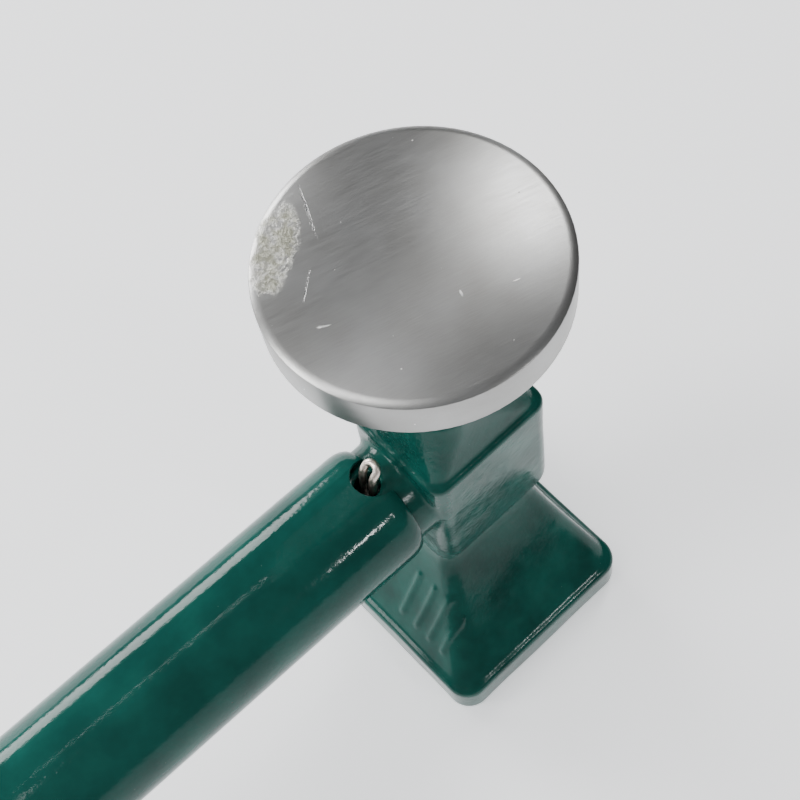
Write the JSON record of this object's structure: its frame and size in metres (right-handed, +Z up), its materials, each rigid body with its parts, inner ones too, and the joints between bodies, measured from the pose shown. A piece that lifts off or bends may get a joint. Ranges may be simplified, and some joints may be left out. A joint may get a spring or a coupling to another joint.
{
  "type": "snap setting press",
  "caption": "Hand-struck snap setting press: a cast head on a flared square foot, a sprung plunger under a round steel striking disc, dies in an open throat, and a tube handle.",
  "frame": {"origin": "the point of the foot's flat underside that lies on the plunger's axis", "axes": "+Z up along the plunger's axis, the handle runs out towards -X, and the throat is open towards +X and +Y"},
  "size_m": [0.1888, 0.0558, 0.125],
  "materials": {
    "green_enamel": "thick glossy teal-green enamel over a rough casting",
    "tube_enamel": "glossy teal-green enamel over smooth tube",
    "brushed_disc": "fine straight grain with small dents and scratches",
    "ground_steel": "ground round bar with a light oil film",
    "plated_steel": "bright zinc plate",
    "split_pin_wire": "soft drawn wire",
    "spring_steel": "drawn spring wire",
    "bronze": "sintered bearing bronze",
    "die_steel": "turned and hardened tool steel",
    "black_plastic": "moulded polythene",
    "rubber": "nitrile rubber"
  },
  "bodies": {
    "body": {"body_casting": "green_enamel", "handle_tube": "tube_enamel", "handle_end_plug": "black_plastic", "split_pin": "split_pin_wire", "upper_guide_bush": "bronze", "lower_guide_bush": "bronze", "lower_spring_washer": "plated_steel", "return_spring": "spring_steel", "lower_die": "die_steel", "die_grub_screw": "plated_steel", "guide_key_screw": "plated_steel", "key_lock_nut": "plated_steel"},
    "plunger": {"plunger_rod": "ground_steel", "strike_disc": "brushed_disc", "disc_lock_nut": "plated_steel", "upper_spring_washer": "plated_steel", "stop_ring": "spring_steel", "rebound_washer": "rubber", "upper_die": "die_steel", "upper_die_o_ring": "rubber"}
  },
  "joints": [
    {"name": "plunger_slide", "type": "slide", "parent": "body", "child": "plunger", "axis": [0, 0, -1], "range_m": [0, 0.0105], "stiffness_N_per_m": 3800, "springref_m": -0.002, "deforming": ["return_spring"]}
  ]
}
